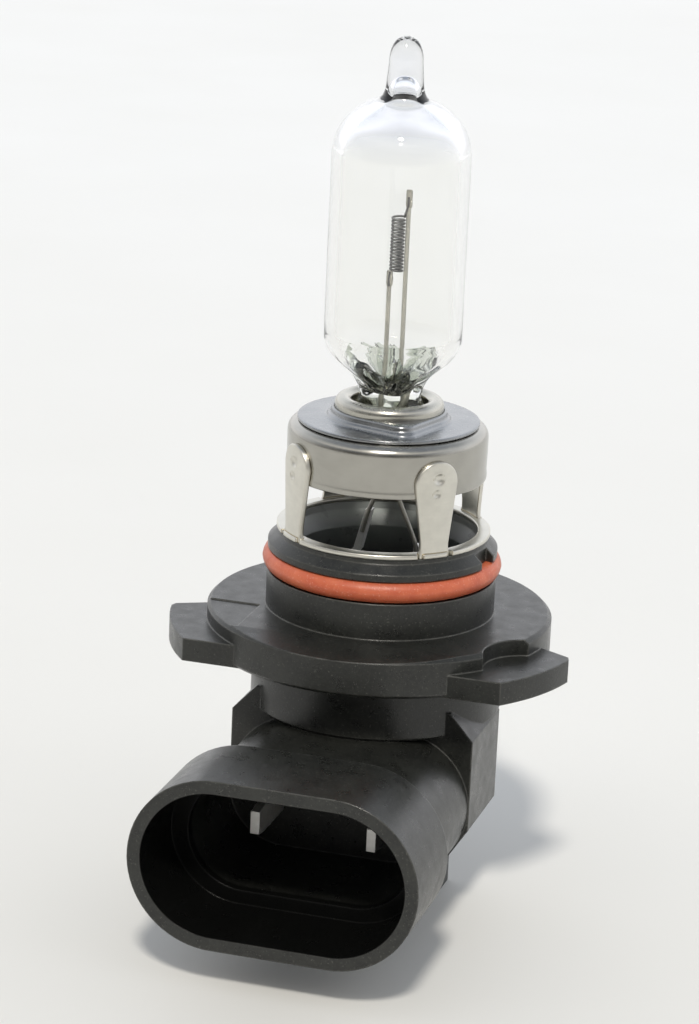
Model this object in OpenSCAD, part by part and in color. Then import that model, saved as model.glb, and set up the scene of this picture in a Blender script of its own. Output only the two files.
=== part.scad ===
// Right-angle halogen headlight bulb with a prefocus metal cap on a moulded plastic base.
// Millimetres. Z runs up the bulb axis and Z = 0 is the top of the base flange, which is the
// face the lamp housing seats on. The connector mouth faces -Y.

/* [Glass bulb] */
// outside radius of the glass tube
glass_r = 5.9; // [5:0.05:7]
// glass wall thickness
glass_wall = 0.95; // [0.6:0.05:1.4]
// top of the exhaust tip above the flange
tip_z = 49.7; // [46:0.1:54]
// radius of the exhaust tip
tip_r = 1.5; // [1:0.05:2]
// pinch width along X
pinch_w = 6.4; // [5:0.1:7]
// pinch thickness along Y
pinch_t = 3.2; // [2.4:0.1:4]
// height of the pinch bottom
pinch_z = 11.2; // [9:0.1:14]

/* [Filament and leads] */
// height of the filament centre, the light centre length
light_centre = 32.1; // [31:0.1:33]
// length of the coiled part
coil_len = 4.8; // [4:0.1:6]
// mean radius of the coil
coil_r = 0.52; // [0.4:0.01:0.7]
// radius of the tungsten wire
coil_wire_r = 0.1; // [0.06:0.01:0.14]
// turns in the coil
coil_turns = 16.5; // [9.5:1:18.5]
// radius of the support leads
lead_r = 0.2; // [0.15:0.01:0.3]
// X position of the long lead
long_x = 0.85; // [0.7:0.05:1.6]
// X position of the short lead, on the other side
short_x = -0.55; // [-1.6:0.05:-0.4]

/* [Metal cap] */
// cup outside radius
cup_r = 8.65; // [8:0.05:9.2]
// cup bottom edge
cup_z0 = 12; // [11:0.1:13]
// cup top face
cup_z1 = 16.6; // [15.5:0.1:17.5]
// sheet thickness of the cup
cup_t = 0.35; // [0.25:0.05:0.5]
// shoulder roll radius
cup_roll = 1.5; // [0.8:0.1:2.5]
// radius of the alignment disc
disc_r = 7.85; // [7:0.05:8.3]
// thickness of the alignment disc
disc_t = 0.3; // [0.2:0.05:0.5]
// ferrule outside radius
ferrule_r = 4.7; // [4.2:0.05:5.2]
// ferrule top
ferrule_z1 = 18.8; // [17.5:0.1:20]
// radius of the hole in the ferrule lip
ferrule_hole_r = 3.62; // [3:0.02:4.2]

/* [Leg ring] */
// ring outside radius
ring_ro = 9.25; // [8.8:0.05:9.6]
// ring inside radius
ring_ri = 8.15; // [7.6:0.05:8.6]
// ring sheet thickness
ring_t = 0.42; // [0.3:0.02:0.6]
// ring underside, where it rests on the collar
ring_z = 6.9; // [6:0.1:8]
// leg width at the rounded top
leg_top_w = 4; // [3:0.1:5]
// leg width where it meets the ring
leg_low_w = 2.45; // [2:0.05:3.5]
// height of the centre of the leg's rounded top
leg_top_z = 13.3; // [12.5:0.1:14.5]

/* [Moulded base] */
// collar radius, the part that enters the lamp
collar_r = 9.95; // [9.5:0.05:10.3]
// radius of the collar's end face, under the leg ring
collar_end_r = 9.1; // [8.9:0.05:9.6]
// height where the collar starts to taper to its end face
collar_taper_z = 5.75; // [5.6:0.05:6.4]
// radius of the bottom of the seal groove
groove_r = 8.45; // [8:0.05:9]
// height of the seal centre
seal_z = 4.2; // [3.5:0.1:5]
// radius of the seal's round section
seal_r = 0.95; // [0.7:0.05:1.2]
// flange radius
flange_r = 15; // [14:0.1:16]
// flange thickness
flange_t = 3.45; // [2.5:0.05:4]
// locking lug outside radius
lug_r = 18.25; // [17:0.05:19.5]
// step from the flange top down to the lug top
lug_drop = 1.45; // [0.8:0.05:2]
// barrel radius under the flange
barrel_r = 10.95; // [10:0.05:12]
// barrel bottom
barrel_z = -8.75; // [-11:0.05:-6]
// radius of the hollow in the collar
well_r = 7.4; // [6.5:0.1:8]
// floor of the hollow
well_z = -6.4; // [-8:0.1:0]

/* [Connector] */
// distance from the bulb axis to the mouth
mouth_y = 28.9; // [24:0.1:32]
// length of the wide mouth section
mouth_len = 8.85; // [5:0.05:12]
// mouth outside width
mouth_w = 24.8; // [22:0.1:27]
// mouth outside height
mouth_h = 14.8; // [13:0.1:16]
// height of the mouth centre
mouth_z = -14.4; // [-17:0.1:-12]
// mouth wall thickness
mouth_wall = 1.15; // [0.8:0.05:1.6]
// width of the narrower section behind the mouth
throat_w = 21.4; // [19:0.1:23]
// height of the narrower section
throat_h = 12.4; // [11:0.1:14]
// height of the centre of the narrower section
throat_z = -15; // [-17:0.1:-13]
// half width of the block under the barrel
block_hw = 10.8; // [9.5:0.1:12]
// front face of the block
block_y0 = -7.2; // [-9:0.1:-5]
// rear face of the block
block_y1 = 1.9; // [0:0.1:6]
// half width of the block's foot, which the bulb stands on
foot_hw = 7; // [5:0.1:9]
// underside of the foot
foot_z = -25.5; // [-27:0.1:-22]
// terminal spacing from the centre plane
blade_x = 5.1; // [4:0.1:6.5]
// terminal blade height
blade_h = 2.4; // [2:0.1:3]
// terminal sheet thickness
blade_t = 0.8; // [0.5:0.05:1]
// distance from the bulb axis to the blade tips
blade_tip_y = 17.5; // [15:0.1:22]
// height of the blade centre line
blade_z = -14.8; // [-16:0.1:-13]

/* [Hidden] */
$fn = 64;
e = 0.01;
neck_r = 4.98;
coil_z0 = light_centre - coil_len / 2;
coil_z1 = light_centre + coil_len / 2;
cavity_back = -10.6;
step_y = -21.3;

// ---- shared 2D outlines ----

// flat-sided oval, w wide and h high
module oval(w, h) {
    square([w - h, h], center = true);
    for (s = [-1, 1]) translate([s * (w - h) / 2, 0]) circle(h / 2);
}

// circle of radius r with one square corner, rounded to radius c, in the +X +Y quarter
module one_corner(r, c) {
    circle(r);
    square([r, r - c]);
    square([r - c, r]);
    translate([r - c, r - c]) circle(c);
}

// an oval prism from y0 to y1 with its centre line at height z
module oval_along_y(w, h, z, y0, y1)
    translate([0, y1, z]) rotate([90, 0, 0]) linear_extrude(y1 - y0) oval(w, h);

// ---- glass ----

// outside of the bulb from the neck up to the tip, as radius and height
glass_out = [[0, 18.2], [2.45, 18.2], [2.6, 18.9], [2.95, 19.8], [3.6, 20.85], [4.35, 21.55],
    [5.1, 22.25], [5.55, 22.9], [5.82, 23.6], [glass_r, 24.4], [glass_r, 39.4], [5.84, 40.3],
    [5.62, 41.3], [5.2, 42.15], [4.6, 42.9], [3.8, 43.6], [2.9, 44.15], [2.15, 44.5],
    [1.78, 44.8], [tip_r + 0.08, 45.3], [tip_r, 46.2], [tip_r - 0.08, 47.4],
    [tip_r - 0.2, 48.4], [1.06, 49.1], [0.7, 49.5], [0.35, 49.66], [0, tip_z]];
// inside of the bulb, wall thickness in from the outside
glass_in = [[0, 20.9], [2.2, 21.1], [3.3, 21.7], [4.1, 22.4], [4.6, 23.2], [4.88, 24],
    [glass_r - glass_wall, 24.8], [glass_r - glass_wall, 39.2], [4.86, 40.1], [4.6, 41],
    [4.1, 41.8], [3.3, 42.5], [2.3, 43.05], [1.2, 43.4], [0.75, 44], [0.6, 45.2],
    [0.45, 46.4], [0.2, 47.1], [0, 47.3]];

module glass_envelope() color([0.86, 0.92, 0.95, 0.35]) difference() {
    union() {
        rotate_extrude() polygon(glass_out);
        translate([-pinch_w / 2, -pinch_t / 2, pinch_z])
            cube([pinch_w, pinch_t, 18.3 - pinch_z]);
    }
    rotate_extrude() polygon(glass_in);
    translate([long_x, 0, 10]) cylinder(r = lead_r + e, h = 12);
    translate([short_x, 0, 10]) cylinder(r = lead_r + e, h = 12);
}

// ---- filament: lower leg, helix, upper leg, swept as one wire ----

function coil_point(i, n) = let (a = 180 - 360 * coil_turns * i / n)
    [coil_r * cos(a), coil_r * sin(a), coil_z0 + coil_len * i / n];
function ring6(p, nrm, bin) = [for (k = [0:5])
    p + coil_wire_r * (cos(60 * k) * nrm + sin(60 * k) * bin)];
function unit(v) = v / norm(v);

module filament() color([0.45, 0.45, 0.47]) {
    n = 264;
    fy = -(0.08 + coil_wire_r + e);
    low = [[short_x, fy, coil_z0 - 1.25], [short_x, fy, coil_z0 - 0.7],
           [short_x + 0.01, fy + 0.04, coil_z0 - 0.35]];
    high = [[long_x - 0.22, fy + 0.02, coil_z1 + 0.3], [long_x - 0.08, fy, coil_z1 + 0.75],
            [long_x, fy, coil_z1 + 1.15], [long_x, fy, coil_z1 + 1.75]];
    path = concat(low, [for (i = [0:n]) coil_point(i, n)], high);
    rad = concat([for (i = low) [-1, 0, 0]],
        [for (i = [0:n]) let (a = 180 - 360 * coil_turns * i / n) [cos(a), sin(a), 0]],
        [for (i = high) [1, 0, 0]]);
    m = len(path);
    pts = [for (i = [0:m - 1])
        let (t = unit(path[min(i + 1, m - 1)] - path[max(i - 1, 0)]),
             nrm = unit(rad[i] - (rad[i] * t) * t))
        each ring6(path[i], nrm, cross(t, nrm))];
    sides = [for (i = [0:m - 2], k = [0:5])
        each [[6 * i + k, 6 * (i + 1) + (k + 1) % 6, 6 * i + (k + 1) % 6],
              [6 * i + k, 6 * (i + 1) + k, 6 * (i + 1) + (k + 1) % 6]]];
    caps = [[0, 1, 2, 3, 4, 5], [for (k = [5:-1:0]) 6 * (m - 1) + k]];
    polyhedron(pts, concat(sides, caps), convexity = 12);
}

// round rod from a to b
module rod(a, b, r) {
    d = b - a;
    translate(a) rotate([0, acos(d[2] / norm(d)), atan2(d[1], d[0])])
        cylinder(r = r, h = norm(d));
}

// slightly swollen elbow where a lead is bent
module bend(p) translate(p) sphere(lead_r + 0.02);

module long_lead() color([0.42, 0.42, 0.44]) {
    translate([long_x, 0, pinch_z - 0.6]) cylinder(r = lead_r, h = coil_z1 + 0.9 - pinch_z + 0.6);
    translate([long_x - 0.26, -0.08, coil_z1 + 0.7]) cube([0.52, 0.16, 1.7]);
    bend([long_x, 0, pinch_z - 0.6]);
    rod([long_x, 0, pinch_z - 0.6], [3, 0, 5.7], lead_r);
    bend([3, 0, 5.7]);
    rod([3, 0, 5.7], [3, 0, 3.4], lead_r);
}

module short_lead() color([0.42, 0.42, 0.44]) {
    translate([short_x, 0, pinch_z - 0.6]) cylinder(r = lead_r, h = coil_z0 - 1 - pinch_z + 0.6);
    translate([short_x - 0.26, -0.08, coil_z0 - 1.35]) cube([0.52, 0.16, 1.45]);
    bend([short_x, 0, pinch_z - 0.6]);
    rod([short_x, 0, pinch_z - 0.6], [-1.5, 0, 8.1], lead_r);
    bend([-1.5, 0, 8.1]);
    rod([-1.5, 0, 8.1], [-1.92, 0, 6.3], lead_r);
}

// ---- metal cap ----

// drawn tube with a rolled lip and two tabs turned in to grip the pinch
module ferrule() color([0.78, 0.77, 0.74]) {
    rotate_extrude() difference() {
        union() {
            translate([ferrule_hole_r, 12.4]) square([ferrule_r - 0.75 - ferrule_hole_r, 6.4]);
            translate([ferrule_hole_r, 12.4]) square([ferrule_r - ferrule_hole_r, 5.65]);
            translate([ferrule_r - 0.75, ferrule_z1 - 0.75]) circle(0.75);
        }
        translate([0, 12]) square([ferrule_r - 0.35, 6.05]);
        translate([ferrule_r - 0.75, ferrule_z1 - 0.75]) circle(0.4);
        translate([0, 12]) square([ferrule_r - 0.75, 6.45]);
    }
    for (s = [-1, 1]) translate([-1.1, s > 0 ? pinch_t / 2 : -ferrule_r + 0.1, 12.4])
        cube([2.2, ferrule_r - 0.1 - pinch_t / 2, 0.35]);
}

// flat disc with a collar that the ferrule slides in, round but for one corner at the front
module alignment_disc() color([0.74, 0.73, 0.71]) difference() {
    union() {
        translate([0, 0, cup_z1]) cylinder(r = disc_r, h = disc_t);
        rotate([0, 0, 28 - 135]) {
            translate([0, 0, cup_z1]) linear_extrude(0.6) one_corner(neck_r + 0.3, 1.2);
            translate([0, 0, cup_z1]) linear_extrude(1.2) one_corner(neck_r, 1.3);
        }
    }
    translate([0, 0, cup_z1 - 1]) cylinder(r = ferrule_r + e, h = 4);
}

module cup() color([0.8, 0.79, 0.76]) rotate_extrude() {
    k = cup_r - cup_roll;
    // side wall
    translate([cup_r - cup_t, cup_z0]) square([cup_t, cup_z1 - cup_roll - cup_z0]);
    // rolled shoulder
    intersection() {
        translate([k, cup_z1 - cup_roll]) difference() {
            circle(cup_roll);
            circle(cup_roll - cup_t);
        }
        translate([k, cup_z1 - cup_roll]) square(cup_roll);
    }
    // top web
    translate([5.6, cup_z1 - cup_t]) square([k - 5.6, cup_t]);
}

// outline of one leg, seen from outside: rounded top, tapering to the ring
module leg_outline() {
    translate([0, leg_top_z]) circle(leg_top_w / 2);
    polygon([[-leg_low_w / 2, ring_z], [leg_low_w / 2, ring_z],
             [leg_low_w / 2, ring_z + 0.5], [leg_top_w / 2, leg_top_z],
             [-leg_top_w / 2, leg_top_z], [-leg_low_w / 2, ring_z + 0.5]]);
}

module leg_ring() color([0.83, 0.82, 0.78]) {
    difference() {
        translate([0, 0, ring_z]) cylinder(r = ring_ro, h = ring_t);
        translate([0, 0, ring_z - 1]) cylinder(r = ring_ri, h = 3);
        // relief notches each side of the legs
        for (a = [45, 135, 225, 315], s = [-1, 1]) rotate([0, 0, a])
            translate([ring_ro - 0.55, s * (leg_low_w / 2 + 0.2) - 0.2, ring_z - 1])
                cube([2, 0.4, 3]);
    }
    for (a = [45, 135, 225, 315]) difference() {
        intersection() {
            difference() {
                translate([0, 0, ring_z]) cylinder(r = cup_r + 0.4, h = 12);
                translate([0, 0, ring_z - 1]) cylinder(r = cup_r, h = 14);
            }
            rotate([0, 0, a]) translate([12, 0, 0]) rotate([90, 0, -90])
                linear_extrude(12) leg_outline();
        }
        // weld dimples
        rotate([0, 0, a]) translate([cup_r + 0.4 + 0.62, 0, leg_top_z + 0.5]) sphere(0.85);
        rotate([0, 0, a]) translate([cup_r + 0.4 + 0.32, 0, leg_top_z - 0.75]) sphere(0.5);
    }
    // anchors pressed down into the collar rim
    for (a = [0, 90, 180, 270]) rotate([0, 0, a])
        translate([8.35, -1, ring_z - 1.6]) cube([0.4, 2, 1.6 + ring_t]);
}

// ---- plastic and rubber ----

module seal_ring() color([0.8, 0.28, 0.18]) translate([0, 0, seal_z])
    rotate_extrude() translate([groove_r + 0.02 + seal_r, 0]) circle(seal_r);

// locking lug in plan; s = 1 is the +X lug
module lug_outline(s) intersection() {
    circle(lug_r);
    polygon([[s * 8, -11.7], [s * 19, -11.7], [s * 19, -4.9], [s * 18.1, -4.3],
             [s * 17.7, -3], [s * 14.6, -1.3], [s * 8, -1.3]]);
}

module base_outside() {
    // collar with the seal groove, flange and barrel in one turned profile
    rotate_extrude() polygon([[0, barrel_z], [barrel_r - 0.25, barrel_z],
        [barrel_r, barrel_z + 0.25], [barrel_r, -flange_t], [flange_r - 0.3, -flange_t],
        [flange_r, -flange_t + 0.3], [flange_r, -0.35], [flange_r - 0.35, 0],
        [collar_r, 0], [collar_r, 3.2], [groove_r, 3.2], [groove_r, 5.18], [collar_r, 5.18],
        [collar_r, collar_taper_z], [collar_end_r, 6.5], [collar_end_r, ring_z], [0, ring_z]]);
    for (s = [-1, 1]) translate([0, 0, -flange_t])
        linear_extrude(flange_t - lug_drop) lug_outline(s);
    // rear lug
    translate([0, 0, -flange_t]) linear_extrude(flange_t - lug_drop) intersection() {
        circle(lug_r);
        translate([-5.2, 8]) square([10.4, 12]);
    }
    // block under the barrel: wings sloping up to the barrel wall, narrower foot below
    translate([0, block_y1, 0]) rotate([90, 0, 0]) linear_extrude(block_y1 - block_y0)
        polygon([[-block_hw, -8.8], [-8.7, -6.5], [8.7, -6.5], [block_hw, -8.8],
                 [block_hw, -16.9], [foot_hw, -22.9], [foot_hw, foot_z], [-foot_hw, foot_z],
                 [-foot_hw, -22.9], [-block_hw, -16.9]]);
    oval_along_y(throat_w, throat_h, throat_z, -mouth_y + 2, block_y0 + 1);
    oval_along_y(mouth_w, mouth_h, mouth_z, -mouth_y, -mouth_y + mouth_len);
}

module base_housing() color([0.13, 0.135, 0.13]) difference() {
    base_outside();
    // hollow of the collar with its chamfered mouth
    rotate_extrude() polygon([[0, well_z], [well_r, well_z], [well_r, 4.9],
        [8.3, 6.2], [8.3, 8], [0, 8]]);
    // connector cavity, stepped
    oval_along_y(mouth_w - 2 * mouth_wall, mouth_h - 2 * mouth_wall, mouth_z,
        -mouth_y - 1, step_y);
    oval_along_y(19.4, 9.8, -14.5, step_y - 1, cavity_back);
    // keying notch in the collar land
    rotate([0, 0, 82 - 90]) translate([collar_r - 0.8, -1.25, 5.1]) cube([2, 2.5, 3]);
    // clearance scoop above the right lug
    rotate([0, 0, 63 - 90]) translate([17.3, 0, -lug_drop]) cylinder(r = 3.9, h = 5);
    // front of the flange falls away from a chord
    translate([-20, -10.7, 0]) rotate([4.6, 0, 0]) translate([0, -20, 0]) cube([40, 20, 5]);
    // shallow pocket on the left of the flange top
    translate([-15.5, -10.7, -0.1]) cube([6, 6.2, 1]);
    // slots for the ring anchors
    for (a = [0, 90, 180, 270]) rotate([0, 0, a])
        translate([8.35 - e, -1 - e, ring_z - 1.6 - e]) cube([0.4 + 2 * e, 2 + 2 * e, 3]);
    for (s = [-1, 1]) terminal_slot(s);
}

// flat L of the terminal, seen along X: blade forward, leg up
module terminal_side(g) {
    offset_h = blade_h / 2 + g;
    polygon([[-blade_tip_y, blade_z - 1], [-blade_tip_y + 1.4, blade_z - offset_h],
             [1.2 + g, blade_z - offset_h], [1.2 + g, 0.6], [-1.2 - g, 0.6],
             [-1.2 - g, blade_z + offset_h], [-blade_tip_y + 1.4, blade_z + offset_h],
             [-blade_tip_y, blade_z + 1]]);
}

module terminal_flat(s, g)
    translate([s * blade_x - blade_t / 2 - g, 0, 0]) rotate([90, 0, 90])
        linear_extrude(blade_t + 2 * g) terminal_side(g);

module terminal_slot(s) intersection() {
    terminal_flat(s, e);
    translate([-20, cavity_back, -30]) cube([40, 30, 40]);
}

// upper strip, bent in towards the lead, which is welded to its front edge
module terminal_top(pts) translate([0, 1.2, 0]) rotate([90, 0, 0])
    linear_extrude(1.2 - lead_r - 0.02) polygon(pts);

module terminal_left() color([0.8, 0.8, 0.78]) {
    terminal_flat(-1, 0);
    terminal_top([[-5.4, 0.3], [-4.8, 0.3], [-4.8, 0.9], [-2.05, 4.6], [-1.22, 8.3],
                  [-1.8, 8.3], [-2.68, 4.8], [-5.4, 1.1]]);
}

module terminal_right() color([0.8, 0.8, 0.78]) {
    terminal_flat(1, 0);
    terminal_top([[5.4, 0.3], [4.8, 0.3], [4.8, 0.9], [2.7, 3.2], [2.7, 5.6],
                  [3.3, 5.6], [3.3, 3.5], [5.4, 1.1]]);
}

glass_envelope();
filament();
long_lead();
short_lead();
ferrule();
alignment_disc();
cup();
leg_ring();
seal_ring();
base_housing();
terminal_left();
terminal_right();
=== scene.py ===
"""Right-angle halogen headlight bulb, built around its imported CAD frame.

Shapes below are in millimetres in the row frame (Z up the bulb axis, Z = 0 the flange top, mouth
towards -Y) and become metres in add_piece(). The housing and the terminals are the CAD nodes;
glass, wires, cap, leg ring and seal are modelled here in finer detail and stand for theirs.
"""

from math import asin, cos, degrees, exp, pi, radians, sin, sqrt, tan

import bmesh
import bpy
from mathutils import Matrix, Vector


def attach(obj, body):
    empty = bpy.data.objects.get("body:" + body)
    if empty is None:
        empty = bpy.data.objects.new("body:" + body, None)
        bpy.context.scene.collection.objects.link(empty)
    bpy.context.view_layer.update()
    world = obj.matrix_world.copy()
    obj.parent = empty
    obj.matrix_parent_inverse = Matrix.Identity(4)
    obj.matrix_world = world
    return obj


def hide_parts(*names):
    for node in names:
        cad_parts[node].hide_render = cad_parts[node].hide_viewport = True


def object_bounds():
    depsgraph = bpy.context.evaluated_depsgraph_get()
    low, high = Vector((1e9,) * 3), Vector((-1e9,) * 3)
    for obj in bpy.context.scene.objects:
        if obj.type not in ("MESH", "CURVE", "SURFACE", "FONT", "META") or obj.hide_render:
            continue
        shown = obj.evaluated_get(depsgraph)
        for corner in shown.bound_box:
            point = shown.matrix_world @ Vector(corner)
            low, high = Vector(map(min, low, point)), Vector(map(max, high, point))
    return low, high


MM = 0.001
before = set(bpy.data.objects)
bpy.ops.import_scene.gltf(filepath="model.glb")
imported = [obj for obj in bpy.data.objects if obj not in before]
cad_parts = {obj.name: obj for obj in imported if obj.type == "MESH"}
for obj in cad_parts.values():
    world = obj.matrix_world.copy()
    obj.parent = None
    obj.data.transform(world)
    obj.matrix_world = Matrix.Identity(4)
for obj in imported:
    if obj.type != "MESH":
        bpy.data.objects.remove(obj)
cad_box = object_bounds()

# ---- driving dimensions, mm ----
GLASS_R = 5.9
CUP_R, CUP_Z0, CUP_Z1, CUP_T, CUP_ROLL = 8.65, 12.0, 16.6, 0.35, 1.5
DISC_R, DISC_T = 7.85, 0.3
FERRULE_R, FERRULE_Z1, FERRULE_HOLE = 4.7, 18.8, 3.62
RING_RI, RING_RO, RING_Z, RING_T = 8.15, 9.25, 6.9, 0.42
LEG_TOP_Z, LEG_TOP_W, LEG_LOW_W, LEG_T = 13.3, 4.0, 2.45, 0.4
SEAL_Z, SEAL_R, SEAL_MID_R = 4.2, 0.95, 9.42
LONG_X, SHORT_X, LEAD_R = 0.85, -0.55, 0.2
LIGHT_CENTRE, COIL_LEN, COIL_R, COIL_WIRE, COIL_TURNS = 32.1, 4.8, 0.52, 0.1, 16.5
COLLAR_CORNER = radians(28 - 90)  # direction of the collar's one corner, from +X
# of the CAD housing, used where the painted light, painted sheen and painted shade go on it
WELL_MOUTH_R, CHAMFER_Z0, CHAMFER_Z1 = 8.3, 4.8, 6.4
MOUTH_W, MOUTH_H, MOUTH_WALL, MOUTH_Z, MOUTH_BACK_Y = 24.8, 14.8, 1.15, -14.4, -20.2
# of the glass, where its painted sky reflection and painted shade begin
DOME_TINT_Z, PINCH_Z = 39.8, 19.6
FLOOR_Z = cad_box[0].z
BOX_FACES = [(0, 1, 2, 3), (7, 6, 5, 4), (0, 4, 5, 1), (1, 5, 6, 2), (2, 6, 7, 3), (3, 7, 4, 0)]


# ---------------------------------------------------------------- mesh helpers
def soft(points, radius, steps=5):
    """Closed 2D outline with rounded corners. A point may carry its own radius as a third number."""
    out, n = [], len(points)
    for i, p in enumerate(points):
        here, r = Vector(p[:2]), (p[2] if len(p) > 2 else radius)
        to_a = Vector(points[i - 1][:2]) - here
        to_b = Vector(points[(i + 1) % n][:2]) - here
        a = here + to_a.normalized() * min(r, to_a.length * 0.48)
        b = here + to_b.normalized() * min(r, to_b.length * 0.48)
        for k in range(steps + 1):
            t = k / steps
            out.append(a * (1 - t) ** 2 + here * 2 * t * (1 - t) + b * t * t)
    return out


def curve_through(points, steps=6):
    """Catmull-Rom curve through points of any dimension."""
    pts = [Vector(p) for p in points]
    pts = [pts[0] * 2 - pts[1]] + pts + [pts[-1] * 2 - pts[-2]]
    out = []
    for a, b, c, d in zip(pts, pts[1:], pts[2:], pts[3:]):
        for k in range(steps):
            t = k / steps
            out.append(0.5 * (2 * b + (c - a) * t + (2 * a - 5 * b + 4 * c - d) * t * t
                              + (3 * b - a - 3 * c + d) * t ** 3))
    return out + [pts[-2]]


def grid_faces(rows, cols, wrap_rows, wrap_cols, start=0):
    """Quads between consecutive loops of points: rows loops of cols points each."""
    faces = []
    for i in range(rows if wrap_rows else rows - 1):
        for j in range(cols if wrap_cols else cols - 1):
            a, b = start + i * cols, start + (i + 1) % rows * cols
            k = (j + 1) % cols
            faces.append((a + j, a + k, b + k, b + j))
    return faces


def polar(radius, azimuth, z):
    return Vector((radius * cos(azimuth), radius * sin(azimuth), z))


def lathe(profile, segments=160):
    """Turned solid from a closed outline of (radius, height) points."""
    verts = []
    for j in range(segments):
        a = 2 * pi * j / segments
        for r, z in profile:
            verts.append(polar(r, a, z))
    return verts, grid_faces(segments, len(profile), True, True)


def tube(path, radius, sides=12, flatten=None):
    """Round wire along path. flatten(i) gives (wide, thin) factors along X and Y where it is
    pressed flat."""
    verts, n = [], len(path)
    side = Vector((1, 0, 0))
    for i, p in enumerate(path):
        along = (path[min(i + 1, n - 1)] - path[max(i - 1, 0)]).normalized()
        side = (side - along * side.dot(along)).normalized()
        other = along.cross(side)
        wide, thin = flatten(i) if flatten else (1, 1)
        for k in range(sides):
            a = 2 * pi * k / sides
            off = side * cos(a) * wide + other * sin(a) * thin
            verts.append(p + off * radius)
    faces = grid_faces(n, sides, False, True)
    faces += [tuple(range(sides))[::-1], tuple((n - 1) * sides + k for k in range(sides))]
    return verts, faces


def join(*parts):
    verts, faces = [], []
    for v, f in parts:
        faces += [tuple(i + len(verts) for i in face) for face in f]
        verts += list(v)
    return verts, faces


def add_piece(name, shape, slot, material, *nodes, sharp=40, reorient=True):
    """Makes the mesh, in metres, and ties it to the frame."""
    verts, faces = shape
    mesh = bpy.data.meshes.new(name)
    mesh.from_pydata([Vector(v) * MM for v in verts], [], faces)
    bm = bmesh.new()
    bm.from_mesh(mesh)
    bmesh.ops.remove_doubles(bm, verts=bm.verts, dist=1e-7)
    if reorient:
        bmesh.ops.recalc_face_normals(bm, faces=bm.faces)
    bm.to_mesh(mesh)
    bm.free()
    mesh.shade_smooth()
    mesh.set_sharp_from_angle(angle=radians(sharp))
    mesh.materials.append(material)
    piece = bpy.data.objects.new(name, mesh)
    bpy.context.scene.collection.objects.link(piece)
    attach(piece, "root")
    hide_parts(*nodes)
    return piece


# ---------------------------------------------------------------- material helpers
class Mat:
    """A node material with short calls for the nodes used below."""

    def __init__(self, name):
        self.material = bpy.data.materials.new(name)
        self.material.use_nodes = True
        self.tree = self.material.node_tree
        self.bsdf = self.tree.nodes["Principled BSDF"]
        self.output = self.tree.nodes["Material Output"]
        self.place = self.tree.nodes.new("ShaderNodeTexCoord").outputs["Object"]

    def set(self, **values):
        for key, value in values.items():
            self.bsdf.inputs[key.replace("_", " ")].default_value = value

    def put(self, socket, key):
        self.tree.links.new(socket, self.bsdf.inputs[key])

    def feed(self, socket, value):
        """Links value into socket, or sets it there if it is a plain number or colour."""
        if isinstance(value, bpy.types.NodeSocket):
            self.tree.links.new(value, socket)
        elif socket.type == "RGBA" and len(value) == 3:
            socket.default_value = (*value, 1)
        else:
            socket.default_value = value

    def node(self, kind, **inputs):
        n = self.tree.nodes.new("ShaderNode" + kind)
        for key, value in inputs.items():
            self.feed(n.inputs[key.replace("_", " ")], value)
        return n

    def noise(self, size, stretch=(1, 1, 1), detail=3.0, rough=0.55):
        """Noise from 0 to 1 whose features are about size millimetres across."""
        m = self.node("Mapping", Vector=self.place, Scale=stretch)
        n = self.node("TexNoise", Vector=m.outputs[0], Scale=1 / (size * MM), Detail=detail,
                      Roughness=rough)
        return n.outputs["Fac"]

    def spread(self, value, low, high, to_low=0.0, to_high=1.0):
        n = self.node("MapRange", Value=value)
        for i, v in enumerate((low, high, to_low, to_high)):
            n.inputs[i + 1].default_value = v
        return n.outputs[0]

    def mix(self, factor, a, b):
        """Colour mix. a and b are colours or sockets."""
        n = self.tree.nodes.new("ShaderNodeMix")
        n.data_type = "RGBA"
        for socket, value in ((n.inputs[0], factor), (n.inputs[6], a), (n.inputs[7], b)):
            self.feed(socket, value)
        return n.outputs[2]

    def math(self, operation, a, b=0.0):
        n = self.tree.nodes.new("ShaderNodeMath")
        n.operation = operation
        for socket, value in zip(n.inputs, (a, b)):
            self.feed(socket, value)
        return n.outputs[0]

    def length(self, a, b):
        """Length of the flat vector (a, b)."""
        return self.math("SQRT", self.math("ADD", self.math("MULTIPLY", a, a),
                                           self.math("MULTIPLY", b, b)))

    def round_edges(self, radius):
        """Shading normal with edges rounded to radius mm, and a 0 to 1 mask of those edges."""
        soft_normal = self.node("Bevel", Radius=radius * MM)
        soft_normal.samples = 6
        flat = self.tree.nodes.new("ShaderNodeNewGeometry")
        dot = self.tree.nodes.new("ShaderNodeVectorMath")
        dot.operation = "DOT_PRODUCT"
        self.tree.links.new(soft_normal.outputs[0], dot.inputs[0])
        self.tree.links.new(flat.outputs["Normal"], dot.inputs[1])
        return soft_normal.outputs[0], self.spread(dot.outputs["Value"], 0.995, 0.9)

    def bump(self, height, distance, strength=1.0, normal=None):
        n = self.node("Bump", Height=height, Strength=strength, Distance=distance * MM)
        if normal:
            self.tree.links.new(normal, n.inputs["Normal"])
        return n.outputs[0]


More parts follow.
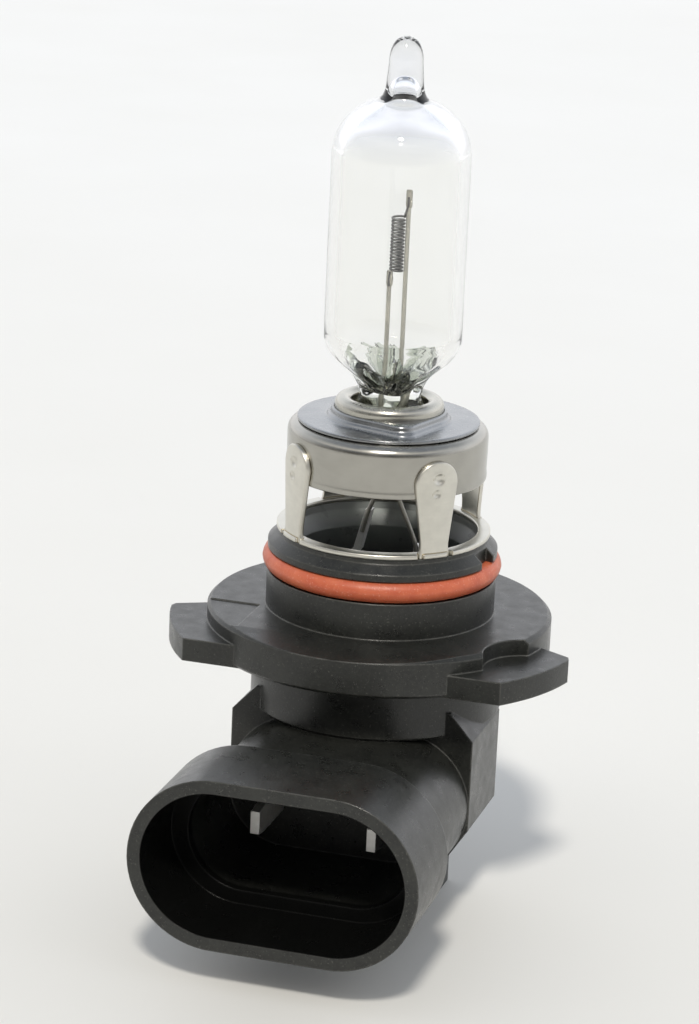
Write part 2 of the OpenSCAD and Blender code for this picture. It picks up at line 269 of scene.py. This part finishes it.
def plastic():
    """Moulded black engineering plastic: fine grain, faint flow mottling, lighter edges that are partly
    painted highlight and partly rubbed wear, painted light in the hollow inside the collar with a
    painted sheen on its chamfer, and painted shade inside the connector's mouth."""
    m = Mat("moulded_plastic")
    normal, edge = m.round_edges(0.22)
    mottle = m.spread(m.noise(2.6, detail=5), 0.35, 0.7)
    grain = m.noise(0.12, detail=2)
    speck = m.spread(m.noise(0.16, detail=1), 0.66, 0.74)
    dust = m.spread(m.noise(0.3, detail=3), 0.42, 0.66, 0, 0.3)
    colour = m.mix(mottle, (0.0105, 0.011, 0.010), (0.019, 0.020, 0.0175))
    colour = m.mix(dust, colour, (0.036, 0.038, 0.033))
    colour = m.mix(m.math("MULTIPLY", speck, 0.45), colour, (0.13, 0.13, 0.115))
    # Lighter edges: partly painted highlight, partly rubbed wear.
    edge_highlight_and_wear = m.math("MULTIPLY", edge, m.spread(m.noise(0.9, detail=4), 0.3, 0.7, 0.15, 0.75))
    colour = m.mix(edge_highlight_and_wear, colour, (0.14, 0.14, 0.128))

    x, y, z = m.node("SeparateXYZ", Vector=m.place).outputs
    # Painted light inside the collar's well, lighter towards its top, and a painted sheen on its inner
    # chamfer.
    inside = m.spread(m.length(x, y), (WELL_MOUTH_R + 0.15) * MM, WELL_MOUTH_R * MM)
    painted_light_in_well = m.math("MULTIPLY", inside, m.spread(z, 1.0 * MM, 5.5 * MM))
    colour = m.mix(painted_light_in_well, colour, (0.16, 0.17, 0.165))
    painted_sheen_on_chamfer = m.math("MULTIPLY", painted_light_in_well, m.spread(z, CHAMFER_Z0 * MM, CHAMFER_Z1 * MM))
    colour = m.mix(painted_sheen_on_chamfer, colour, (0.40, 0.41, 0.40))

    # Painted shade inside the connector's mouth: near-black colour and less specular on its inner walls.
    straight, mouth_inner_r = (MOUTH_W - MOUTH_H) / 2, MOUTH_H / 2 - MOUTH_WALL
    beside = m.math("MAXIMUM", m.math("SUBTRACT", m.math("ABSOLUTE", x), straight * MM), 0.0)
    below = m.math("SUBTRACT", z, MOUTH_Z * MM)
    painted_shade_in_mouth = m.math("MULTIPLY",
                   m.spread(m.length(beside, below), (mouth_inner_r + 0.09) * MM, (mouth_inner_r + 0.02) * MM),
                   m.spread(y, MOUTH_BACK_Y * MM, (MOUTH_BACK_Y - 0.4) * MM))
    m.put(m.mix(painted_shade_in_mouth, colour, (0.004, 0.0042, 0.004)), "Base Color")
    m.put(m.spread(painted_shade_in_mouth, 0, 1, 0.5, 0.12), "Specular IOR Level")
    m.put(m.spread(m.noise(1.3, detail=4), 0.3, 0.7, 0.25, 0.38), "Roughness")
    m.put(m.bump(grain, 0.02, 0.55, normal), "Normal")
    m.set(IOR=1.5)
    return m.material


def steel(name, tone, rough, lines=(1, 1, 30), brown_edge_reflection=0.0, edge_radius=0.08):
    """Satin stainless sheet: drawing lines, cloudy gloss, optional painted dark-brown reflection on the
    edges.
    """
    m = Mat(name)
    normal, edge = m.round_edges(edge_radius)
    cloud = m.noise(1.7, detail=4)
    drawn = m.noise(1.4, lines, detail=3)
    fine = m.noise(0.07, detail=1)
    dark = tuple(c * 0.86 for c in tone)
    colour = m.mix(m.spread(cloud, 0.3, 0.7), dark, tone)
    colour = m.mix(m.spread(drawn, 0.3, 0.75, 0, 0.25), colour, tuple(c * 0.7 for c in tone))
    # Painted dark-brown reflection along the rounded edges.
    if brown_edge_reflection:
        colour = m.mix(m.math("MULTIPLY", edge, brown_edge_reflection), colour, (0.32, 0.25, 0.14))
    m.put(colour, "Base Color")
    m.set(Metallic=1.0)
    m.put(m.spread(cloud, 0.3, 0.7, rough - 0.05, rough + 0.06), "Roughness")
    height = m.math("ADD", m.math("MULTIPLY", drawn, 0.6), m.math("MULTIPLY", fine, 0.4))
    m.put(m.bump(height, 0.003, 0.5, normal), "Normal")
    return m.material


def silicone():
    """Red-orange silicone with fine dust and slight translucence."""
    m = Mat("seal_silicone")
    cloud = m.spread(m.noise(1.6, detail=5), 0.3, 0.7)
    dust = m.spread(m.noise(0.17, detail=2), 0.6, 0.72)
    colour = m.mix(cloud, (0.48, 0.095, 0.043), (0.60, 0.15, 0.068))
    m.put(m.mix(m.math("MULTIPLY", dust, 0.35), colour, (0.75, 0.42, 0.33)), "Base Color")
    m.put(m.spread(m.noise(0.5), 0.3, 0.7, 0.36, 0.5), "Roughness")
    m.put(m.bump(m.noise(0.14, detail=3), 0.02, 0.5), "Normal")
    m.set(Subsurface_Weight=0.15, Subsurface_Scale=0.0006)
    m.bsdf.inputs["Subsurface Radius"].default_value = (1.0, 0.35, 0.2)
    return m.material


def glass(name, tint):
    """Clear fused glass, with a faint painted blue sky reflection on the dome and painted shade greying
    the pinch inside the ferrule. Light falls through it without a hard caustic shadow."""
    m = Mat(name)
    m.set(Roughness=0.0, IOR=1.46, Transmission_Weight=1.0)
    haze = m.spread(m.noise(6.0, detail=2), 0.3, 0.7)
    colour = m.mix(haze, tint, tuple(min(1.0, c * 1.015) for c in tint))
    height = m.node("SeparateXYZ", Vector=m.place).outputs[2]
    # Painted bluish sky reflection on the dome.
    painted_sky_reflection = m.spread(height, DOME_TINT_Z * MM, (DOME_TINT_Z + 1.7) * MM)
    colour = m.mix(painted_sky_reflection, colour, tuple(a * b for a, b in zip(tint, (0.95, 0.96, 0.995))))
    # Painted shade: the pinch glass greyed where it sits down in the ferrule.
    painted_shade_in_ferrule = m.spread(height, PINCH_Z * MM, (PINCH_Z - 0.9) * MM)
    m.put(m.mix(painted_shade_in_ferrule, colour, (0.60, 0.62, 0.55)), "Base Color")
    m.put(m.bump(m.noise(3.5, (1, 1, 0.35), detail=1), 0.03, 0.35), "Normal")
    clear = m.node("BsdfTransparent")
    clear.inputs["Color"].default_value = (0.93, 0.95, 0.95, 1)
    both = m.tree.nodes.new("ShaderNodeMixShader")
    rays = m.tree.nodes.new("ShaderNodeLightPath")
    m.tree.links.new(rays.outputs["Is Shadow Ray"], both.inputs[0])
    m.tree.links.new(m.bsdf.outputs[0], both.inputs[1])
    m.tree.links.new(clear.outputs[0], both.inputs[2])
    m.tree.links.new(both.outputs[0], m.output.inputs["Surface"])
    return m.material


def wire(name, low, high, rough):
    """Drawn wire: dull metal with die lines along it."""
    m = Mat(name)
    colour = m.spread(m.noise(0.35, (1, 1, 0.2), detail=4), 0.3, 0.7)
    m.put(m.mix(colour, low, high), "Base Color")
    m.set(Metallic=0.85)
    m.put(m.spread(m.noise(0.25), 0.3, 0.7, rough, rough + 0.15), "Roughness")
    m.put(m.bump(m.noise(0.06, (1, 1, 0.1)), 0.006, 0.6), "Normal")
    return m.material


def tinned():
    """Bright tin plating with faint stamping marks."""
    m = Mat("tinned_copper")
    normal, edge = m.round_edges(0.1)
    colour = m.mix(m.spread(m.noise(0.7, detail=4), 0.3, 0.7), (0.86, 0.85, 0.81), (0.96, 0.95, 0.92))
    m.put(m.mix(m.math("MULTIPLY", edge, 0.4), colour, (0.97, 0.97, 0.95)), "Base Color")
    m.set(Metallic=0.35)
    m.put(m.spread(m.noise(0.4), 0.3, 0.7, 0.3, 0.45), "Roughness")
    m.put(m.bump(m.noise(0.2, (1, 6, 1)), 0.01, 0.4, normal), "Normal")
    return m.material


def paper():
    """The pale sheet the bulb stands on, with painted light: lighter away from the camera, darker near
    it.
    """
    m = Mat("pale_sheet")
    split = m.node("SeparateXYZ", Vector=m.place)
    # Painted light: the sheet lighter towards the back, darker near the camera.
    painted_light_towards_back = m.spread(split.outputs["Y"], -0.09, 0.30)
    near, far = (0.765, 0.76, 0.728), (0.84, 0.848, 0.845)
    clean = m.mix(painted_light_towards_back, near, far)
    cloud = m.math("MULTIPLY", m.spread(m.noise(40, detail=4), 0.35, 0.75), 0.12)
    m.put(m.mix(cloud, clean, (0.70, 0.69, 0.65)), "Base Color")
    m.set(Roughness=0.75)
    m.put(m.bump(m.noise(0.5, detail=3), 0.02, 0.3), "Normal")
    return m.material


# ---------------------------------------------------------------- glass bulb
def petals(height_above, radius, azimuth, count, depth):
    """Radial folds pressed into the hot glass where the tube closes on the pinch."""
    wave = abs(cos(azimuth * count / 2 + 0.6 * sin(azimuth * 2)))
    uneven = 0.75 + 0.25 * sin(3 * azimuth + 1.3)
    near = max(0.0, 1 - height_above) ** 1.3
    return depth * near * uneven * (1 - wave ** 0.6) * min(1.0, radius / 1.2)


def glass_outside():
    """Rounded block of the pinch flowing into the round bulb, shoulder and exhaust tip."""
    body = [(2.62, 18.9), (2.95, 19.8), (3.6, 20.85), (4.35, 21.55), (5.1, 22.25), (5.55, 22.9),
            (5.82, 23.6), (GLASS_R, 24.4), (GLASS_R, 28), (GLASS_R, 34), (GLASS_R, 39.3),
            (5.84, 40.3), (5.62, 41.3), (5.2, 42.15), (4.6, 42.9), (3.8, 43.6), (2.9, 44.15),
            (2.1, 44.45), (1.78, 44.85), (1.62, 45.4), (1.54, 46.2), (1.45, 47.3), (1.4, 48.1),
            (1.24, 48.75), (0.95, 49.28), (0.5, 49.62), (0.22, 49.69), (0.0, 49.7)]
    rows = [(3.2 * k, 1.6 * k, z, 5.0) for k, z in
            ((0.0, 11.2), (0.9, 11.2), (0.98, 11.3), (1.0, 11.55), (1.0, 13.5), (1.0, 15.5),
             (1.0, 16.9))]
    rows += [(3.12, 1.75, 17.5, 4.2), (2.95, 2.05, 18.0, 3.2), (2.75, 2.4, 18.45, 2.4)]
    rows += [(p[0], p[0], p[1], 2.0) for p in curve_through(body, 4)]
    segments, verts = 144, []
    for wide, deep, z, power in rows:
        for j in range(segments):
            a = 2 * pi * j / segments
            c, s = cos(a), sin(a)
            k = (abs(c) ** power + abs(s) ** power) ** (-1 / power)
            fold = petals(abs(z - 20.3) / 2.6, wide, a + 0.25, 7, 0.45)
            verts.append(Vector(((wide * k - fold) * c, (deep * k - fold) * s, z)))
    return verts, grid_faces(len(rows), segments, False, True)


def glass_inside():
    """Surface of the sealed space, with the folds that sparkle round the leads."""
    profile = [(0.0, 19.3), (0.7, 19.4), (1.6, 19.9), (2.5, 20.75), (3.4, 21.6), (4.15, 22.4),
               (4.62, 23.2), (4.88, 24.1), (4.95, 25), (4.95, 30), (4.95, 35), (4.95, 39.2),
               (4.86, 40.1), (4.6, 41.0), (4.1, 41.8), (3.3, 42.5), (2.4, 43.05), (1.6, 43.5),
               (1.15, 44.1), (1.0, 44.8), (0.9, 45.4), (0.68, 45.95), (0.36, 46.3), (0.0, 46.4)]
    rows, segments, verts = curve_through(profile, 5), 180, []
    for r, z in rows:
        for j in range(segments):
            a = 2 * pi * j / segments
            fold = petals(abs(z - 20.6) / 2.4, r, a, 9, 1.15)
            verts.append(polar(r, a, z + fold))
    # the faces look into the sealed space, out of the glass
    return verts, [f[::-1] for f in grid_faces(len(rows), segments, False, True)]


def fold_blades():
    """Thin upstanding ridges of glass between the folds, like a ring of petals."""
    parts = []
    for i in range(11):
        a = 2 * pi * i / 11 + 0.35 * sin(i * 2.4)
        reach = 3.65 + 0.5 * sin(i * 1.9 + 0.4)
        lift = 2.65 + 0.5 * cos(i * 2.7)
        rows, steps = [], 12
        for k in range(steps + 1):
            t = k / steps
            r = 0.55 + (reach - 0.55) * t
            z = 19.35 + lift * t ** 1.15 + 0.35
            twist = a + 0.16 * sin(2.2 * t + i)
            wide = 0.8 * sin(pi * min(1, t * 0.86 + 0.1)) ** 0.8 + 0.02
            out = Vector((cos(twist), sin(twist), 0))
            across = Vector((-sin(twist), cos(twist), 0.35 * sin(i * 3.1)))
            mid = out * r + Vector((0, 0, z))
            up = Vector((0, 0, 1)) - out * 0.5
            rows.append([mid - across * wide + up * 0.3, mid + up * 0.04,
                         mid + across * wide + up * 0.3, mid - up * 0.16])
        verts = [p for row in rows for p in row]
        faces = grid_faces(len(rows), 4, False, True) + [(3, 2, 1, 0)]
        last = len(verts) - 4
        parts.append((verts, faces + [(last, last + 1, last + 2, last + 3)]))
    return join(*parts)


# ---------------------------------------------------------------- filament and leads
def filament_shape():
    z0, z1 = LIGHT_CENTRE - COIL_LEN / 2, LIGHT_CENTRE + COIL_LEN / 2
    front = -(0.08 + COIL_WIRE)
    path = [Vector((SHORT_X, front, z0 - 1.25)), Vector((SHORT_X, front, z0 - 0.7)),
            Vector((SHORT_X + 0.01, front + 0.04, z0 - 0.35))]
    n = 460
    for i in range(n + 1):
        a = pi - 2 * pi * COIL_TURNS * i / n
        path.append(Vector((COIL_R * cos(a), COIL_R * sin(a), z0 + COIL_LEN * i / n)))
    path += [Vector((LONG_X - 0.22, front + 0.02, z1 + 0.3)), Vector((LONG_X - 0.08, front, z1 + 0.75)),
             Vector((LONG_X, front, z1 + 1.15)), Vector((LONG_X, front, z1 + 1.75))]
    return tube(path, COIL_WIRE, 10)


def lead(points, flat_from, flat_to):
    """A lead through points, pressed flat between two heights to hold the filament leg."""
    path = curve_through(points, 8)

    def flatten(i):
        z = path[i].z
        inside = min(1.0, max(0.0, (z - flat_from) / 0.3)) * min(1.0, max(0.0, (flat_to - z) / 0.15))
        return 1 + 0.4 * inside, 1 - 0.58 * inside
    return tube(path, LEAD_R, 14, flatten)


def weld_bead(centre, wide, deep, tall):
    """Small bead of fused metal where the filament leg meets its lead."""
    rows, sides, verts = 9, 16, []
    for i in range(rows + 1):
        v = pi * i / rows
        for j in range(sides):
            a = 2 * pi * j / sides
            lump = 1 + 0.12 * sin(2 * a + v * 3)
            verts.append(Vector(centre) + Vector((wide * sin(v) * cos(a) * lump,
                                                  deep * sin(v) * sin(a), -tall * cos(v))))
    return verts, grid_faces(rows + 1, sides, False, True)


def leads():
    z0, z1 = LIGHT_CENTRE - COIL_LEN / 2, LIGHT_CENTRE + COIL_LEN / 2
    long_up = [(LONG_X, 0, z) for z in (12, 16, 20, 26, 31, z1 + 0.7, z1 + 1.2, z1 + 1.8, z1 + 2.36)]
    long_down = [(3.0, 0, 3.45), (3.0, 0, 4.6), (2.95, 0, 5.7), (2.5, 0, 6.9), (1.45, 0, 9.25),
                 (0.98, 0, 10.5)]
    short_up = [(SHORT_X, 0, z) for z in (12, 16, 20, 24, z0 - 1.4, z0 - 0.9, z0 - 0.4, z0 + 0.08)]
    short_down = [(-1.92, 0, 6.35), (-1.75, 0, 7.1), (-1.5, 0, 8.1), (-1.05, 0, 9.3), (-0.68, 0, 10.5)]
    return (join(lead(long_down + long_up, z1 + 0.7, z1 + 2.4),
                 weld_bead((LONG_X + 0.2, -0.1, z1 + 1.15), 0.14, 0.12, 0.32)),
            join(lead(short_down + short_up, z0 - 1.35, z0 + 0.1),
                 weld_bead((SHORT_X + 0.17, -0.1, z0 - 0.75), 0.2, 0.14, 0.5)))


# ---------------------------------------------------------------- metal cap
def one_corner_radius(azimuth, r, corner):
    """Distance from the centre to the edge of a circle with one rounded square corner."""
    off = abs((azimuth - COLLAR_CORNER + pi) % (2 * pi) - pi)
    side = pi / 4 - off
    if side <= 0:
        return r
    k = r - corner
    if tan(side) * r <= k:
        return r / cos(side)
    k *= sqrt(2)
    return k * cos(off) + sqrt(max(0.0, corner * corner - (k * sin(off)) ** 2))


def disc_shape():
    """Alignment disc rising in two drawn steps to the collar round the ferrule."""
    top, bore = CUP_Z1 + DISC_T, FERRULE_R + 0.01
    tiers = [(bore, 0, 0, CUP_Z1), (bore, 0, 0, CUP_Z1 + 1.12), (bore + 0.03, 0, 0, CUP_Z1 + 1.17)]
    for r, corner, z in ((4.84, 1.1, 1.2), (4.93, 1.25, 1.15), (4.98, 1.3, 1.04), (4.99, 1.3, 0.86),
                         (5.03, 1.3, 0.72), (5.12, 1.25, 0.63), (5.22, 1.2, 0.58),
                         (5.28, 1.2, 0.5), (5.31, 1.2, 0.42), (5.42, 1.25, 0.345),
                         (5.6, 1.3, 0.31)):
        tiers.append((0, r, corner, CUP_Z1 + z))
    tiers += [(7.5, 0, 0, top), (DISC_R - 0.1, 0, 0, top),
              (DISC_R - 0.03, 0, 0, top - 0.03), (DISC_R, 0, 0, top - 0.1),
              (DISC_R, 0, 0, CUP_Z1 + 0.08), (DISC_R - 0.08, 0, 0, CUP_Z1), (bore, 0, 0, CUP_Z1)]
    segments, verts = 240, []
    for fixed, r, corner, z in tiers:
        for j in range(segments):
            a = 2 * pi * j / segments
            rad = max(fixed or one_corner_radius(a, r, corner), bore)
            verts.append(polar(rad, a, z))
    return verts, grid_faces(len(tiers), segments, False, True)


def ferrule_shape():
    """Drawn tube with a fat rolled lip and two tabs gripping the pinch."""
    roll, t = 0.75, 0.35
    lip = [Vector((FERRULE_R - roll + roll * cos(a), FERRULE_Z1 - roll + roll * sin(a)))
           for a in [radians(d) for d in range(0, 151, 10)]]
    profile = [Vector((FERRULE_R, 12.45)), Vector((FERRULE_R, 15))] + lip
    profile += [Vector((FERRULE_HOLE + 0.02, 18.3)), Vector((FERRULE_HOLE + 0.08, 18.1)),
                Vector((FERRULE_R - t, 18.0)), Vector((FERRULE_R - t, 15)),
                Vector((FERRULE_R - t, 12.45)), Vector((FERRULE_R - 0.18, 12.4))]
    tabs = []
    for s in (-1, 1):
        y0, y1 = s * 1.61, s * (FERRULE_R - 0.12)
        box = [(x, y, z) for z in (12.41, 12.74) for x, y in
               ((-1.1, y0), (1.1, y0), (1.1, y1), (-1.1, y1))]
        tabs.append(([Vector(p) for p in box], BOX_FACES))
    return join(lathe(profile, 160), *tabs)


def cup_shape():
    """Drawn cup: rolled shoulder, straight wall and a trimmed rim with a slight curl."""
    inner = CUP_R - CUP_T
    profile = soft([(CUP_R - 0.3, CUP_Z0, 0.12), (CUP_R - 0.02, CUP_Z0, 0.16),
                    (CUP_R, CUP_Z0 + 0.4, 0.1), (CUP_R - 0.05, CUP_Z0 + 0.75, 0.2),
                    (CUP_R - 0.02, CUP_Z1 - 2.2, 0.4), (CUP_R, CUP_Z1, CUP_ROLL),
                    (5.6, CUP_Z1, 0.05), (5.6, CUP_Z1 - CUP_T, 0.05),
                    (inner, CUP_Z1 - CUP_T, 1.15)], 0.1, 9)
    return lathe(profile, 192)


# ---------------------------------------------------------------- leg ring
LEG_AZIMUTHS = (45, 135, 225, 315)


def ring_shape():
    """Flat stamped ring with relief notches beside each leg and four tabs into the collar."""
    outline = soft([(RING_RI, RING_Z), (RING_RO, RING_Z), (RING_RO, RING_Z + RING_T),
                    (RING_RI, RING_Z + RING_T)], 0.13, 4)
    notch_at = degrees(asin((LEG_LOW_W / 2 + 0.2) / RING_RO))
    notch_half = degrees(asin(0.2 / RING_RO))
    segments, verts = 720, []
    for j in range(segments):
        d = 360 * j / segments
        off = min(abs((d - leg + 180) % 360 - 180) for leg in LEG_AZIMUTHS)
        cut = 0.55 * max(0.0, min(1.0, (notch_half + 0.25 - abs(off - notch_at)) / 0.5))
        a = radians(d)
        for r, z in outline:
            if cut and r > RING_RO - 0.7:
                r -= cut
            verts.append(polar(r, a, z))
    return verts, grid_faces(segments, len(outline), True, True)


def leg_shape(azimuth):
    """One leg: sheet curved round the cup, rounded top, soft edges and two weld dimples."""
    back, top = CUP_R, LEG_TOP_Z + LEG_TOP_W / 2
    rows, cols, edge = 72, 34, 0.13
    grids = []
    for outside in (True, False):
        grid = []
        for i in range(rows + 1):
            t = sin(pi / 2 * i / rows)  # rows crowd towards the rounded top
            z = RING_Z + 0.02 + (top - RING_Z - 0.02) * t
            if z > LEG_TOP_Z:
                half = sqrt(max(0.0, (LEG_TOP_W / 2) ** 2 - (z - LEG_TOP_Z) ** 2))
            else:
                k = max(0.0, z - RING_Z - 0.5) / (LEG_TOP_Z - RING_Z - 0.5)
                half = LEG_LOW_W / 2 + (LEG_TOP_W - LEG_LOW_W) / 2 * k
                half += 0.22 * exp(-(z - RING_Z - RING_T) / 0.3) if z > RING_Z + RING_T else 0.22
            for j in range(cols + 1):
                x = half * sin(pi / 2 * (2 * j / cols - 1))
                near = half - abs(x)
                if z > LEG_TOP_Z:
                    near = min(near, LEG_TOP_W / 2 - sqrt(x * x + (z - LEG_TOP_Z) ** 2))
                drop = 0.0
                if near < edge:
                    drop = edge - sqrt(max(0.0, edge ** 2 - (edge - max(near, 0)) ** 2))
                r = back
                if outside:
                    r = back + LEG_T - drop
                    for dx, dz, size, deep in ((0.05, 0.5, 0.5, 0.2), (-0.12, -0.75, 0.36, 0.16)):
                        painted_light_towards_back = sqrt((x - dx) ** 2 + (z - LEG_TOP_Z - dz) ** 2) / size
                        r -= deep * max(0.0, 1 - painted_light_towards_back ** 2) ** 0.8
                        r += 0.035 * exp(-((painted_light_towards_back - 1.15) / 0.22) ** 2)
                a = radians(azimuth) + asin(x / r)
                grid.append(polar(r, a, z))
        grids.append(grid)
    verts = grids[0] + grids[1]
    width, half_count = cols + 1, len(grids[0])
    faces = grid_faces(rows + 1, width, False, False)
    faces += [f[::-1] for f in grid_faces(rows + 1, width, False, False, half_count)]
    border = [i * width for i in range(rows + 1)] + [rows * width + j for j in range(1, width)]
    border += [i * width + cols for i in range(rows - 1, -1, -1)] + list(range(cols - 1, 0, -1))
    for a, b in zip(border, border[1:] + border[:1]):
        faces.append((a, b, b + half_count, a + half_count))
    return verts, faces


def leg_ring_shape():
    tabs = []
    for k in range(4):
        a = k * pi / 2
        out, side = Vector((cos(a), sin(a), 0)), Vector((-sin(a), cos(a), 0))
        box = [out * r + side * s + Vector((0, 0, z)) for z in (RING_Z - 1.6, RING_Z + 0.1)
               for r, s in ((8.35, -1), (8.75, -1), (8.75, 1), (8.35, 1))]
        tabs.append((box, BOX_FACES))
    return join(ring_shape(), *[leg_shape(a) for a in LEG_AZIMUTHS], *tabs)


def seal_shape():
    """O-ring with a hair of mould flash round its middle."""
    profile = []
    for k in range(40):
        a = 2 * pi * k / 40
        flash = 0.02 if k in (0, 20) else 0
        profile.append(Vector((SEAL_MID_R + (SEAL_R - 0.02 + flash) * cos(a), SEAL_Z + SEAL_R * sin(a))))
    return lathe(profile, 220)


# ---------------------------------------------------------------- build
black = plastic()
cap_metal = steel("cap_stainless", (0.45, 0.438, 0.40), 0.21)
# A brighter copy of the cap steel: painted highlight on the ferrule's lip.
ferrule_metal_lit = steel("ferrule_stainless_painted_highlight", (0.56, 0.545, 0.49), 0.24)
# A darker, bluer copy of the cap steel: painted shade on the disc, tinted bluish.
disc_metal_shaded = steel("disc_stainless_painted_shade", (0.36, 0.37, 0.38), 0.26)
leg_metal = steel("leg_stainless", (0.74, 0.72, 0.65), 0.34, (1, 1, 3), brown_edge_reflection=0.9, edge_radius=0.15)
clear = glass("bulb_glass", (0.972, 0.973, 0.960))
folded = glass("folded_glass", (0.73, 0.76, 0.71))
lead_metal = wire("lead_wire_metal", (0.36, 0.35, 0.32), (0.56, 0.54, 0.48), 0.38)
tungsten = wire("tungsten_wire", (0.10, 0.10, 0.10), (0.2, 0.2, 0.2), 0.35)
tin = tinned()

add_piece("glass_bulb", join(glass_outside(), glass_inside()), "clear_glass", clear,
          "glass_envelope", sharp=60, reorient=False)
add_piece("glass_folds", fold_blades(), "clear_glass", folded, "glass_envelope", sharp=30)
add_piece("filament_coil", filament_shape(), "tungsten", tungsten, "filament")
long_shape, short_shape = leads()
add_piece("long_support", long_shape, "lead_wire", lead_metal, "long_lead")
add_piece("short_support", short_shape, "lead_wire", lead_metal, "short_lead")
add_piece("ferrule_tube", ferrule_shape(), "cap_steel", ferrule_metal_lit, "ferrule")
add_piece("disc_and_collar", disc_shape(), "cap_steel", disc_metal_shaded, "alignment_disc")
add_piece("drawn_cup", cup_shape(), "cap_steel", cap_metal, "cup")
add_piece("legs_and_ring", leg_ring_shape(), "leg_steel", leg_metal, "leg_ring")
add_piece("seal", seal_shape(), "silicone", silicone(), "seal_ring")
for name, material in (("base_housing", black), ("terminal_left", tin), ("terminal_right", tin)):
    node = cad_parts[name]
    node.data.materials.clear()
    node.data.materials.append(material)


# ---------------------------------------------------------------- floor, light, camera
def floor():
    half = 3.0
    mesh = bpy.data.meshes.new("floor")
    mesh.from_pydata([(-half, -half, FLOOR_Z), (half, -half, FLOOR_Z), (half, half, FLOOR_Z),
                      (-half, half, FLOOR_Z)], [], [(0, 1, 2, 3)])
    mesh.materials.append(paper())
    sheet = bpy.data.objects.new("floor", mesh)
    bpy.context.scene.collection.objects.link(sheet)


def sun(name, azimuth, elevation, spread, strength, colour):
    """Distant soft light. Azimuth 0 stands behind the camera's side at -Y, 90 at +X."""
    data = bpy.data.lights.new(name, "SUN")
    data.angle, data.energy, data.color = radians(spread), strength, colour
    lamp = bpy.data.objects.new(name, data)
    a, e = radians(azimuth), radians(elevation)
    towards = Vector((sin(a) * cos(e), -cos(a) * cos(e), sin(e)))
    lamp.rotation_euler = towards.to_track_quat("Z", "Y").to_euler()
    bpy.context.scene.collection.objects.link(lamp)


def sky():
    """Surroundings: pale and bright low behind the bulb, bluish overhead, dim in front of it but for
    a broad warm window band halfway up."""
    world = bpy.data.worlds.new("surroundings")
    bpy.context.scene.world = world
    world.use_nodes = True
    tree = world.node_tree
    back = tree.nodes["Background"]
    place = tree.nodes.new("ShaderNodeTexCoord")
    split = tree.nodes.new("ShaderNodeSeparateXYZ")
    tree.links.new(place.outputs["Generated"], split.inputs[0])

    def ramp(socket, stops):
        n = tree.nodes.new("ShaderNodeValToRGB")
        tree.links.new(socket, n.inputs[0])
        ends = n.color_ramp.elements
        ends[0].position, ends[0].color = stops[0][0], (*stops[0][1], 1)
        ends[1].position, ends[1].color = stops[-1][0], (*stops[-1][1], 1)
        for at, colour in stops[1:-1]:
            ends.new(at).color = (*colour, 1)
        return n.outputs[0]

    half = tree.nodes.new("ShaderNodeMapRange")
    tree.links.new(split.outputs["Y"], half.inputs[0])
    half.inputs[1].default_value, half.inputs[2].default_value = -0.7, 0.5
    front = ramp(split.outputs["Z"], [(0.0, (0.10, 0.095, 0.085)), (0.2, (0.12, 0.12, 0.115)),
                                      (0.46, (0.17, 0.18, 0.20)), (0.56, (0.72, 0.70, 0.67)),
                                      (0.74, (0.70, 0.69, 0.67)), (0.84, (0.26, 0.28, 0.32)),
                                      (1.0, (0.24, 0.27, 0.32))])
    rear = ramp(split.outputs["Z"], [(0.0, (0.71, 0.71, 0.71)), (0.12, (0.98, 0.98, 1.0)),
                                     (0.45, (0.90, 0.93, 0.98)), (0.8, (0.32, 0.35, 0.40)),
                                     (1.0, (0.24, 0.27, 0.32))])
    blend = tree.nodes.new("ShaderNodeMix")
    blend.data_type = "RGBA"
    tree.links.new(half.outputs[0], blend.inputs[0])
    tree.links.new(front, blend.inputs[6])
    tree.links.new(rear, blend.inputs[7])
    tree.links.new(blend.outputs[2], back.inputs["Color"])
    back.inputs["Strength"].default_value = 1.32


def camera():
    """The photo's viewing angle: 16 degrees to the right of the mouth, 17 degrees above it."""
    azimuth, elevation, roll, distance = radians(16.063), radians(16.836), radians(2.644), 0.306
    back = Vector((sin(azimuth) * cos(elevation), -cos(azimuth) * cos(elevation), sin(elevation)))
    right = Vector((cos(azimuth), sin(azimuth), 0))
    up = back.cross(right)
    x_axis = right * cos(roll) + up * sin(roll)
    y_axis = up * cos(roll) - right * sin(roll)
    target = right * -2.998 * MM + Vector((0, 0, 8.224 * MM))
    data = bpy.data.cameras.new("camera")
    data.sensor_fit, data.sensor_height, data.lens = "VERTICAL", 36.0, 124.47
    data.clip_start, data.clip_end = 0.01, 20.0
    eye = bpy.data.objects.new("camera", data)
    bpy.context.scene.collection.objects.link(eye)
    turn = Matrix((x_axis, y_axis, back)).transposed()
    eye.matrix_world = Matrix.Translation(target + back * distance) @ turn.to_4x4()
    bpy.context.scene.camera = eye


floor()
sky()
sun("window", 12, 51, 7, 2.0, (1.0, 0.95, 0.87))
camera()
bpy.context.scene.view_settings.view_transform = "Standard"
